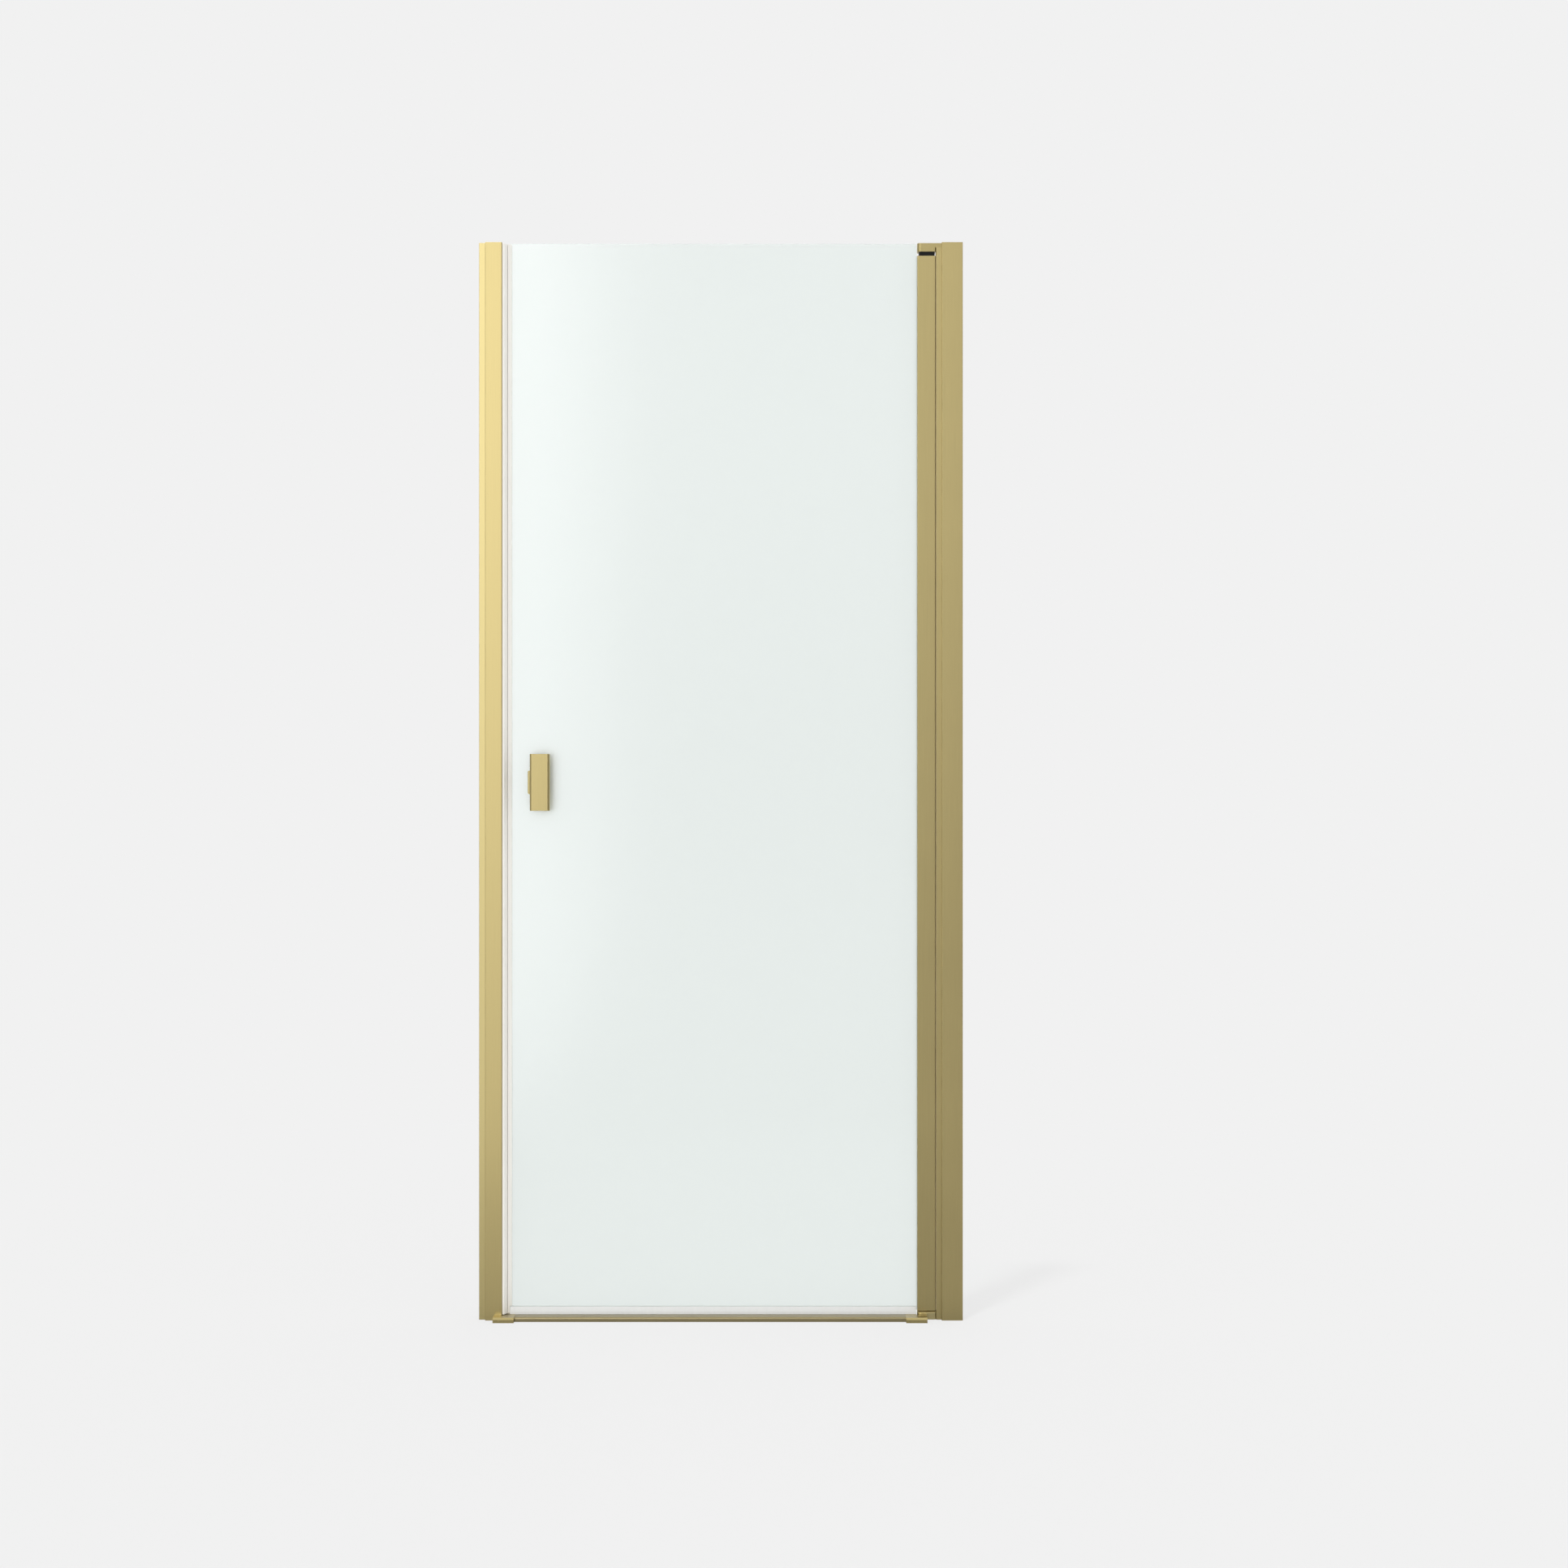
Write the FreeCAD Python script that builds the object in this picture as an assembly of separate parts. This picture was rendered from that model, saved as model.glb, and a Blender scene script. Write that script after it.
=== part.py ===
import FreeCAD, Part
import math
import os

# Framed pivot shower door for a 900 mm niche, shown closed. Millimetres.
# X runs from the strike side to the hinge side, Y from the room into the shower, Z up.
# The origin is on the floor, at mid width, in the mid plane of the glass.

# ---------------------------------------------------------------- driving dimensions
width = 898.0                 # wall to wall
height = 2000.0
frame_depth = 40.0            # the two wide profiles, front to back
narrow_depth = 24.0           # the two narrow profiles, front to back
skin = 1.8                    # wall of every extruded profile
edge_round = 1.0              # outer edges of the extrusions

# strike side, from the wall inwards
left_strip = 12.0             # how much of the left wall profile shows
strike_width = 31.3
strike_seal_reach = 8.45      # seal between the strike profile and the meeting line
strike_seal_half = 17.0       # half its thickness beside the profile
strike_seal_flat = 3.6        # it keeps that thickness for this long, then narrows
magnet_gap = 0.5
door_seal_reach = 4.35        # seal between the meeting line and the glass

# hinge side, from the wall inwards
cover_width = 39.0            # the right wall profile
right_strip = 10.0            # how much of the sliding profile shows beside it
slider_wall = 4.2             # its wall on the door's side, with the groove
seam = 1.0                    # gap between the sliding profile and the door
pivot_radius = 11.0           # half the hinge profile's thickness, and from the axis to its side
hinge_round = 1.5             # its two edges beside the seam
turning_gap = 0.38            # from those edges to the groove as the door turns
seam_seal_y = -7.8            # the strip in the seam, near the front
hinge_width = 33.9

# adjustment for walls out of true
strike_travel = 10.0
hinge_travel = 6.0
adjust_heights = [200.0, 1000.0, 1800.0]
wall_hole_heights = [100.0, 700.0, 1300.0, 1900.0]
wall_hole_radius = 3.0

# levels of the hinge, from the floor up
lower_bracket_top = 15.4
lower_bracket_slope = 2.5     # along its upper front and rear edges
hinge_bottom = 16.5
hinge_top = 1976.4
upper_bracket_bottom = 1984.3
bridge_bottom = 1992.0        # the upper bracket's arm over the sliding profile
lift = 6.0                    # rise of the door when it stands open
swing = 90.0                  # degrees

# glass and its seals
glass_thickness = 6.0
glass_bottom = 17.0
glass_bite = 12.0             # how far the glass goes into the hinge profile
seal_top = 23.3               # upper edge of the bottom seal
seal_lip = 9.6                # its lowest point

# sill
bar_height = 9.0
bar_front = -34.0
bar_rear = 14.0
bar_round = 3.5               # its upper front edge
cap_height = 9.5
cap_front = -45.0
cap_edge = 3.6                # slope along the upper front edge of a cap
left_cap = (-420.6, -381.7)   # from, to, along the sill
right_cap = (343.0, 382.2)
plug_length = 14.0

# handle
handle_z = 998.0
plate_left = -352.1
plate_size = (36.8, 105.0, 8.0)      # width, height, thickness
plate_front = 45.0            # from the mid plane of the glass to the plate's face
plate_edge = 4.0              # rounding of the plate's long edges
block_left = -356.3
block_size = (19.3, 43.5)     # width, height
block_round = 3.0
pad = 0.6                     # washer between block and glass
stud_spacing = 24.0
stud_radius = 3.0
stud_reach = 19.5             # from the mid plane of the glass to a stud's end
grub_y = 12.0

# fasteners and pins
pin_radius = 4.0
running_fit = 0.05
slide_gap = 0.3
screw_radius = 2.0
screw_clearance = 0.4
bracket_screw_tip = 3.2

# ---------------------------------------------------------------- derived places
wall_x = width / 2
half_frame = frame_depth / 2
half_narrow = narrow_depth / 2
half_glass = glass_thickness / 2

strike_left = -wall_x + left_strip
strike_right = strike_left + strike_width
strike_meeting = strike_right + strike_seal_reach
door_meeting = strike_meeting + magnet_gap
glass_left = door_meeting + door_seal_reach

cover_left = wall_x - cover_width
slider_left = cover_left - right_strip
slider_right = cover_left + 24.0
slider_inner = slider_left + slider_wall
axis_x = slider_left - seam - pivot_radius
hinge_right = axis_x + pivot_radius
hinge_left = hinge_right - hinge_width
glass_right = hinge_left + glass_bite
corner_reach = (pivot_radius - hinge_round) * math.sqrt(2) + hinge_round
groove_radius = corner_reach + turning_gap        # round the door's axis

chamber_radius = 8.3                              # round hollow along the hinge profile
pocket_inset = 1.2                                # wall left round the pocket at its top
pocket_bottom = hinge_top - lift - 6.8            # the block's head slides in this pocket
head_inset = pocket_inset + slide_gap
head_bottom = hinge_top - 6.3
bracket_corner = 6.0                              # keeps the bracket clear of the turning glass
bracket_clear = axis_x - 24.3                     # the glass stays left of this beside it

plate_right = plate_left + plate_size[0]
plate_back = plate_front - plate_size[2]
block_right = block_left + block_size[0]
stud_x = block_left + 5.8
plate_screw_x = block_right - 5.0


# ---------------------------------------------------------------- shape helpers
def vec(x, y, z):
    return FreeCAD.Vector(x, y, z)


def box(x0, x1, y0, y1, z0, z1):
    return Part.makeBox(x1 - x0, y1 - y0, z1 - z0, vec(x0, y0, z0))


def rod(axis, a, b, radius, low, high):
    """A cylinder along an axis. a and b are its place on the other two axes in X, Y, Z order."""
    starts = {"x": vec(low, a, b), "y": vec(a, low, b), "z": vec(a, b, low)}
    ways = {"x": vec(1, 0, 0), "y": vec(0, 1, 0), "z": vec(0, 0, 1)}
    return Part.makeCylinder(radius, high - low, starts[axis], ways[axis])


def rectangle(a0, a1, b0, b1, radius=0.0):
    return [(a0, b0, radius), (a1, b0, radius), (a1, b1, radius), (a0, b1, radius)]


def rounded_wire(corners, place):
    """A closed wire round corners (a, b, radius), with an arc at each corner that has a radius."""
    points = [place(a, b) for a, b, radius in corners]
    edges = []
    last = None
    first = None
    for i, (a, b, radius) in enumerate(corners):
        corner = points[i]
        back = points[i - 1].sub(corner).normalize()
        ahead = points[(i + 1) % len(points)].sub(corner).normalize()
        half_angle = back.getAngle(ahead) / 2
        reach = radius / math.tan(half_angle)
        enter = corner + back * reach
        leave = corner + ahead * reach
        if last is None:
            first = enter
        else:
            edges.append(Part.makeLine(last, enter))
        if radius > 0:
            inwards = (back + ahead).normalize()
            middle = corner + inwards * (radius / math.sin(half_angle) - radius)
            edges.append(Part.Arc(enter, middle, leave).toShape())
        last = leave
    edges.append(Part.makeLine(last, first))
    return Part.Wire(edges)


def prism(corners, axis, low, high):
    """An extrusion along an axis. Its corners lie on the other two axes in X, Y, Z order."""
    places = {
        "x": lambda a, b: vec(low, a, b),
        "y": lambda a, b: vec(a, low, b),
        "z": lambda a, b: vec(a, b, low),
    }
    ways = {"x": vec(high - low, 0, 0), "y": vec(0, high - low, 0), "z": vec(0, 0, high - low)}
    return Part.Face(rounded_wire(corners, places[axis])).extrude(ways[axis])


def mirror_y(shape):
    return shape.mirror(vec(0, 0, 0), vec(0, 1, 0))


def join(shapes):
    return shapes[0].fuse(shapes[1:]).removeSplitter()


def chamfer_where(shape, size, wanted):
    """Bevel the edges that pass a test on their two end points and their middle."""
    edges = []
    for edge in shape.Edges:
        ends = [edge.Vertexes[0].Point, edge.Vertexes[-1].Point]
        ends.append(edge.valueAt((edge.FirstParameter + edge.LastParameter) / 2))
        if all(wanted(point) for point in ends):
            edges.append(edge)
    return shape.makeChamfer(size, edges)


def round_slot(x0, x1, z, half_height, y0, y1):
    """A slot along X with round ends, cut through a wall that faces Y."""
    middle = box(x0, x1, y0, y1, z - half_height, z + half_height)
    ends = [rod("y", x, z, half_height, y0, y1) for x in (x0, x1)]
    return join([middle] + ends)


def hex_socket(axis, a, b, across, low, high):
    """The key hole in a screw head: a hexagonal hollow along an axis."""
    radius = across / math.sqrt(3)
    corners = []
    for i in range(6):
        angle = math.radians(60 * i)
        corners.append((a + radius * math.cos(angle), b + radius * math.sin(angle), 0.0))
    return prism(corners, axis, low, high)


def pan_screw(x, z, seat, tip):
    """A pan-head screw along -Y: its head sits on the face at seat, its tip lies inside."""
    head = Part.makeCylinder(4.0, 2.4, vec(x, seat, z), vec(0, 1, 0))
    head = chamfer_where(head, 0.8, lambda p: p.y > seat + 2.3)
    shank = rod("y", x, z, screw_radius, tip, seat)
    return join([head, shank]).cut(hex_socket("y", x, z, 2.5, seat + 1.0, seat + 2.5))


def flat_screw(x, z, face, sink, tip):
    """A countersunk screw along -Y, its head flush with the face."""
    head = Part.makeCone(screw_radius, screw_radius + sink, sink, vec(x, face - sink, z), vec(0, 1, 0))
    shank = rod("y", x, z, screw_radius, tip, face - sink)
    return join([head, shank]).cut(hex_socket("y", x, z, 2.0, face - 1.2, face + 0.1))


def flat_screw_hole(x, z, face, sink, inner):
    """The countersunk hole that takes a flat_screw through a wall."""
    mouth = Part.makeCone(screw_radius, screw_radius + sink, sink, vec(x, face - sink, z), vec(0, 1, 0))
    return join([mouth, rod("y", x, z, screw_radius, inner, face - sink)])


def hinge_plan(inset, low, high, corner=edge_round):
    """A solid of the hinge profile's plan, drawn in by inset. corner rounds it on the glass side."""
    left = hinge_left + inset
    right = hinge_right - inset
    half = pivot_radius - inset
    seam_corner = max(hinge_round - inset, 0.5)
    plan = [(left, -half, corner), (right, -half, seam_corner), (right, half, seam_corner), (left, half, corner)]
    return prism(plan, "z", low, high)


# ---------------------------------------------------------------- fixed to the walls and the floor
def wall_profile_left():
    """Channel screwed to the left wall. The strike profile slides over it."""
    leg_end = strike_left + 17.0
    body = prism(rectangle(-wall_x, leg_end, -half_narrow, half_narrow, 0.6), "z", 0, height)
    hollow = box(-wall_x + skin, leg_end + 1, -half_narrow + skin, half_narrow - skin, -1, height + 1)
    body = body.cut(hollow)
    for z in wall_hole_heights:
        body = body.cut(rod("x", 0, z, wall_hole_radius, -wall_x - 1, -wall_x + skin + 1))
    screw_x = strike_screw_x()
    slot_half = screw_radius + screw_clearance
    for z in adjust_heights:
        body = body.cut(round_slot(screw_x - strike_travel, screw_x, z, slot_half,
                                   half_narrow - skin - 1, half_narrow + 1))
    return body


def wall_profile_right():
    """Channel screwed to the right wall. The sliding profile of the hinge side goes into it."""
    body = prism(rectangle(cover_left, wall_x, -half_frame, half_frame, edge_round), "z", 0, height)
    body = body.cut(box(cover_left + skin, wall_x - skin, -half_frame + skin, half_frame - skin, -1, height + 1))
    mouth = half_narrow + slide_gap + 0.1
    body = body.cut(box(cover_left - 1, cover_left + skin + 1, -mouth, mouth, -1, height + 1))
    rib_x = cover_left + 8.0
    for side in (-1, 1):
        ends = sorted([side * mouth, side * (half_frame - skin / 2)])
        body = body.fuse(box(rib_x, rib_x + skin, ends[0], ends[1], 0, height))
    for z in wall_hole_heights:
        body = body.cut(rod("x", 0, z, wall_hole_radius, wall_x - skin - 1, wall_x + 1))
    slot_half = screw_radius + screw_clearance
    for z in adjust_heights:
        body = body.cut(round_slot(hinge_screw_x(), hinge_screw_x() + hinge_travel, z, slot_half,
                                   half_frame - skin - 1, half_frame + 1))
    return body.removeSplitter()


def bar_outline(inset):
    """The sill bar's section as (y, z): a round front edge and a slope back into the shower."""
    slope = 0.4 * inset
    return [
        (bar_front + inset, inset, 0.3),
        (bar_front + inset, bar_height - inset, bar_round - inset),
        (2.0 - slope, bar_height - inset, 0.5),
        (bar_rear - inset, 4.0 - slope, 0.5),
        (bar_rear - inset, inset, 0.3),
    ]


def sill_bar():
    """Hollow bar on the shower tray that stops the water under the door."""
    x0, x1 = left_cap[1], right_cap[0]
    return prism(bar_outline(0), "x", x0, x1).cut(prism(bar_outline(1.5), "x", x0 - 1, x1 + 1))


def sill_cap(plan, plug_from, plug_to):
    """End block of the sill: it covers the foot of the frame and plugs into the bar."""
    body = prism(plan, "z", 0, cap_height)
    body = chamfer_where(body, cap_edge, lambda p: p.z > cap_height - 0.01 and p.y < cap_front + 0.01)
    return join([body, prism(bar_outline(1.65), "x", plug_from, plug_to)])


def sill_cap_left():
    x0, x1 = left_cap
    inner = strike_right + 0.8
    front = -half_frame - 0.6
    plan = [(x0, cap_front, 0), (x1, cap_front, 0), (x1, bar_rear, 1), (inner, bar_rear, 1),
            (inner, front, 0), (x0, front, 0)]
    return sill_cap(plan, x1 - 1, x1 + plug_length)


def sill_cap_right():
    x0, x1 = right_cap
    inner = hinge_left - 1.7
    front = -pivot_radius - 1.2
    plan = [(x0, cap_front, 0), (x1, cap_front, 0), (x1, front, 0), (inner, front, 0),
            (inner, bar_rear, 1), (x0, bar_rear, 1)]
    return sill_cap(plan, x0 - plug_length, x0 + 1)


# ---------------------------------------------------------------- strike side
def strike_screw_x():
    return strike_left + 9.0


def seal_rail_cut(x_face, inwards):
    """T-shaped groove that holds a seal, cut into a face at x_face."""
    neck = sorted([x_face - inwards * 0.1, x_face + inwards * 2.6])
    head = sorted([x_face + inwards * 2.6, x_face + inwards * 4.0])
    return join([box(neck[0], neck[1], -1.6, 1.6, -1, height + 1),
                 box(head[0], head[1], -3.6, 3.6, -1, height + 1)])


def strike_profile():
    """Wide profile that closes the left side: a channel with ribs that guide it on the wall profile."""
    body = prism(rectangle(strike_left, strike_right, -half_frame, half_frame, edge_round), "z", 0, height)
    body = body.cut(box(strike_left + skin, strike_right - skin, -half_frame + skin, half_frame - skin,
                        -1, height + 1))
    mouth = half_narrow + slide_gap
    body = body.cut(box(strike_left - 1, strike_left + skin + 1, -mouth, mouth, -1, height + 1))
    rib_x = strike_left + 15.0
    additions = [box(strike_right - skin - 4.0, strike_right - skin / 2, -6.0, 6.0, 0, height)]
    for side in (-1, 1):
        ends = sorted([side * mouth, side * (half_frame - skin / 2)])
        additions.append(box(rib_x, rib_x + skin, ends[0], ends[1], 0, height))
    body = body.fuse(additions).cut(seal_rail_cut(strike_right, -1))
    for z in adjust_heights:
        body = body.cut(rod("y", strike_screw_x(), z, screw_radius + 0.2, half_frame - skin - 1, half_frame + 1))
    return body.removeSplitter()


def strike_seal():
    """Soft hollow seal in the strike profile's groove. It narrows to a nose that holds its magnet."""
    z0, z1 = cap_height + 1.0, height - 1.0
    back = strike_right + 0.05
    bend = strike_right + strike_seal_flat
    half = strike_seal_half
    tail = box(strike_right - 2.7, back + 1, -1.3, 1.3, z0, z1)
    barb = box(strike_right - 3.8, strike_right - 2.7, -3.3, 3.3, z0, z1)
    nose = prism([(back, -half, 0.6), (bend, -half, 1.0), (strike_meeting, -5.4, 0.6), (strike_meeting, 5.4, 0.6),
                  (bend, half, 1.0), (back, half, 0.6)], "z", z0, z1)
    body = join([tail, barb, nose])
    body = body.cut(box(strike_meeting - 3.7, strike_meeting - 0.8, -3.6, 3.6, z0 - 1, z1 + 1))
    for side in (-1, 1):
        chamber = [(back + 1.0, side * (half - 1.0), 0.3), (bend - 0.55, side * (half - 1.0), 0.3),
                   (strike_meeting - 0.85, side * 4.7, 0.3), (back + 1.0, side * 4.7, 0.3)]
        body = body.cut(prism(chamber, "z", z0 - 1, z1 + 1))
    return body


def strike_magnet():
    return box(strike_meeting - 3.6, strike_meeting - 0.9, -3.5, 3.5, cap_height + 3.0, height - 3.0)


def nut_plates(x, y0, y1):
    """Plates behind a slotted wall that the adjusting screws pull against."""
    plates = []
    for z in adjust_heights:
        plate = box(x - 7.0, x + 7.0, y0, y1, z - 8.0, z + 8.0)
        plates.append(plate.cut(rod("y", x, z, screw_radius, y0 - 1, y1 + 1)))
    return Part.makeCompound(plates)


def strike_adjust_screws():
    return Part.makeCompound([pan_screw(strike_screw_x(), z, half_frame, 5.5) for z in adjust_heights])


def strike_nut_plates():
    inner = half_narrow - skin - slide_gap
    return nut_plates(strike_screw_x(), inner - 2.7, inner)


# ---------------------------------------------------------------- hinge side, fixed part
def hinge_screw_x():
    return cover_left + 13.0


def bracket_screw_x():
    return slider_inner + 3.2


def bracket_screw_heights():
    return {"lower": [24.0, 46.0], "upper": [1958.0, 1978.0]}


def slider_profile():
    """Narrow box profile that carries both pivots and slides into the right wall profile.

    A groove round the door's axis lets the edges of the hinge profile turn past it."""
    body = prism(rectangle(slider_left, slider_right, -half_narrow, half_narrow, 0.8), "z", 0, bridge_bottom)
    inner = half_narrow - skin
    body = body.cut(box(slider_inner, slider_right - skin, -inner, inner, -1, height))
    body = body.cut(rod("z", axis_x, 0, groove_radius, -1, height))
    body = body.cut(box(slider_left - 1, slider_inner + 1, -7.2, 7.2, -1, 13.2))
    for z in adjust_heights:
        body = body.cut(rod("y", hinge_screw_x(), z, screw_radius + 0.2, inner - 1, half_narrow + 1))
    for heights in bracket_screw_heights().values():
        for z in heights:
            body = body.cut(flat_screw_hole(bracket_screw_x(), z, half_narrow, 1.6, inner - 1))
    return body


def bracket_leg(z0, z1, heights):
    """The upright of a bracket inside the sliding profile, with its two screw holes."""
    half = half_narrow - skin - 0.1
    leg = box(slider_inner + 0.2, slider_inner + 9.7, -half, half, z0, z1)
    for z in heights:
        leg = leg.cut(rod("y", bracket_screw_x(), z, screw_radius, bracket_screw_tip - 0.1, half + 1))
    return leg


def upper_bracket():
    """Arm over the door's axis. It bridges the top of the sliding profile and holds the upper pin."""
    boss = hinge_plan(0, upper_bracket_bottom, bridge_bottom, bracket_corner)
    arm = prism([(hinge_left, -pivot_radius, bracket_corner), (slider_right, -pivot_radius, 0.6),
                 (slider_right, pivot_radius, 0.6), (hinge_left, pivot_radius, bracket_corner)],
                "z", bridge_bottom, height)
    leg = bracket_leg(1944.0, bridge_bottom + 1, bracket_screw_heights()["upper"])
    body = join([boss, arm, leg])
    return body.cut(rod("z", axis_x, 0, pin_radius, upper_bracket_bottom - 1, height - 2.0))


def lower_bracket():
    """Foot under the door's axis. It stands on the tray and carries the door's weight."""
    boss = hinge_plan(0, 0, lower_bracket_top, bracket_corner)
    for side in (-1, 1):
        over = side * (pivot_radius + 1)
        sloped = [(side * (pivot_radius - lower_bracket_slope - 1), lower_bracket_top + 1, 0),
                  (over, lower_bracket_top + 1, 0), (over, lower_bracket_top - lower_bracket_slope - 1, 0)]
        boss = boss.cut(prism(sloped, "x", hinge_left - 1, hinge_right + 1))
    tongue = box(axis_x, slider_inner + 2, -7.0, 7.0, 0, 13.0)
    leg = bracket_leg(0, 56.0, bracket_screw_heights()["lower"])
    body = join([boss, tongue, leg])
    body = body.cut(rod("z", axis_x, 0, pin_radius, 4.0, lower_bracket_top + 1))
    key = cam_key_box(3.05)
    return body.cut(key)


def pivot_pin(z0, z1):
    pin = rod("z", axis_x, 0, pin_radius, z0, z1)
    return chamfer_where(pin, 0.6, lambda p: p.z < z0 + 0.01 or p.z > z1 - 0.01)


def upper_pivot_pin():
    return pivot_pin(1946.0, height - 2.0)


def lower_pivot_pin():
    return pivot_pin(4.0, 60.0)


def cam_key_box(half_width):
    """The key that stops the fixed cam from turning in the lower bracket."""
    return box(axis_x - 7.0, axis_x + 7.0, -half_width, half_width, lower_bracket_top - 3.0, lower_bracket_top + 0.5)


def ramp(z_low, turn):
    """Everything under one helical ramp that climbs round half of the axis, from z_low.

    It climbs at the rate at which the door rises as it swings."""
    pitch = lift * 360.0 / swing
    path = Part.makeHelix(pitch, pitch / 2, 6.0)
    depth = pitch / 2 + 12.0
    section = Part.makePolygon([vec(2.5, 0, -depth), vec(10.0, 0, -depth), vec(10.0, 0, 0), vec(2.5, 0, 0),
                                vec(2.5, 0, -depth)])
    band = Part.Wire(path.Edges).makePipeShell([section], True, True)
    band.rotate(vec(0, 0, 0), vec(0, 0, 1), turn)
    band.translate(vec(axis_x, 0, z_low))
    return band


def cam_low():
    return lower_bracket_top + 7.0


def lower_cam():
    """Fixed half of the cam: two helical ramps on a ring, keyed into the lower bracket."""
    top = cam_low() + lift * 180.0 / swing
    ring = rod("z", axis_x, 0, chamber_radius - 0.2, lower_bracket_top, top)
    teeth = [ring.common(ramp(cam_low(), turn)) for turn in (0, 180)]
    key = cam_key_box(3.0).common(rod("z", axis_x, 0, 7.0, 0, lower_bracket_top + 0.5))
    body = join(teeth + [key])
    return body.cut(rod("z", axis_x, 0, pin_radius, 0, top + 1))


def bracket_screws():
    screws = []
    for heights in bracket_screw_heights().values():
        for z in heights:
            screws.append(flat_screw(bracket_screw_x(), z, half_narrow, 1.6, bracket_screw_tip))
    return Part.makeCompound(screws)


def hinge_adjust_screws():
    seat = half_frame + slide_gap
    return Part.makeCompound([pan_screw(hinge_screw_x(), z, seat, 5.5) for z in adjust_heights])


def hinge_nut_plates():
    inner = half_narrow - skin
    return nut_plates(hinge_screw_x(), inner - 3.0, inner)


# ---------------------------------------------------------------- hinge block that turns but does not rise
def upper_pivot_block():
    """Black block on the upper pin. Its head fits the pocket at the top of the hinge profile."""
    head = hinge_plan(head_inset, head_bottom, upper_bracket_bottom - 0.2)
    head = head.cut(box(hinge_left, hinge_left + 3.3, -pivot_radius, pivot_radius, head_bottom - 1, height))
    stem = rod("z", axis_x, 0, chamber_radius - 0.2, 1940.0, head_bottom + 1)
    return join([head, stem]).cut(rod("z", axis_x, 0, pin_radius + running_fit, 1939.0, height))


# ---------------------------------------------------------------- the door
def hinge_profile():
    """Profile along the hinged edge: a slot for the glass and a round hollow for the pivots."""
    body = hinge_plan(0, hinge_bottom, hinge_top)
    slot_half = half_glass + 1.6
    body = body.cut(box(hinge_left - 1, glass_right + 1.2, -slot_half, slot_half, hinge_bottom - 1, hinge_top + 1))
    body = body.cut(rod("z", axis_x, 0, chamber_radius, hinge_bottom - 1, hinge_top + 1))
    body = body.cut(hinge_plan(pocket_inset, pocket_bottom, hinge_top + 1))
    y0, y1 = seam_seal_y - 1.2, seam_seal_y + 1.2
    body = body.cut(box(hinge_right - 0.5, hinge_right + 1, y0, y1, hinge_bottom - 1, hinge_top + 1))
    return body.cut(flat_screw_hole(axis_x, follower_screw_z(), pivot_radius, 1.8, 6.0))


def seam_seal():
    """Soft strip bonded in a shallow groove of the hinge profile. It closes the seam."""
    z0, z1 = hinge_bottom + 0.5, hinge_top - 0.5
    base = box(hinge_right - 0.5, hinge_right + 0.3, seam_seal_y - 1.1, seam_seal_y + 1.1, z0, z1)
    bulb = rod("z", hinge_right + 0.8, seam_seal_y, 0.95, z0, z1)
    return join([base, bulb])


def glass_pane():
    """Tempered satin glass. Its hinged edge steps back round the pivot block and the bracket."""
    outline = [
        (glass_left, glass_bottom, 2.0),
        (glass_right, glass_bottom, 0.0),
        (glass_right, pocket_bottom - 0.5, 1.0),
        (hinge_left + 1.3, pocket_bottom - 0.5, 0.5),
        (hinge_left + 1.3, hinge_top + 0.4, 0.5),
        (bracket_clear, hinge_top + 0.4, 0.5),
        (bracket_clear, height, 2.0),
        (glass_left, height, 2.0),
    ]
    pane = prism(outline, "y", -half_glass, half_glass)
    for z in stud_heights():
        pane = pane.cut(rod("y", stud_x, z, 6.0, -half_glass - 1, half_glass + 1))
    return pane


def glazing_gasket_front():
    """Rubber strip that grips the glass in the slot of the hinge profile."""
    y1 = -half_glass - 0.05
    return box(hinge_left + 0.4, glass_right, y1 - 1.5, y1, hinge_bottom + 0.5, pocket_bottom - 0.5)


def glazing_gasket_rear():
    return mirror_y(glazing_gasket_front())


def follower_screw_z():
    return 54.0


def cam_follower():
    """Moving half of the cam, fixed in the hinge profile: it rides up the fixed ramps."""
    top = 62.0
    ring = rod("z", axis_x, 0, chamber_radius - 0.1, cam_low(), top)
    for turn in (1.5, 181.5):
        ring = ring.cut(ramp(cam_low() + 0.25, turn))
    ring = ring.cut(rod("z", axis_x, 0, pin_radius + running_fit, 0, top + 1))
    return ring.cut(rod("y", axis_x, follower_screw_z(), screw_radius, 4.6, 9.0))


def follower_screw():
    return flat_screw(axis_x, follower_screw_z(), pivot_radius, 1.8, 5.2)


def door_seal():
    """Soft seal clipped on the free edge of the glass, with a hollow for its magnet."""
    z0, z1 = cap_height + 2.0, height - 1.0
    nose = prism([(door_meeting, -5.0, 0.6), (glass_left - 0.05, -4.4, 0.3), (glass_left - 0.05, 4.4, 0.3),
                  (door_meeting, 5.0, 0.6)], "z", z0, z1)
    hollow = box(door_meeting + 0.8, door_meeting + 3.7, -3.6, 3.6, z0 - 1, z1 + 1)
    parts = [nose.cut(hollow)]
    for side in (-1, 1):
        ends = sorted([side * (half_glass + 0.05), side * (half_glass + 0.9)])
        parts.append(box(glass_left - 0.6, glass_left + 3.8, ends[0], ends[1], seal_top + 0.6, z1))
    return join(parts)


def door_magnet():
    return box(door_meeting + 0.9, door_meeting + 3.6, -3.5, 3.5, cap_height + 4.0, height - 3.0)


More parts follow.
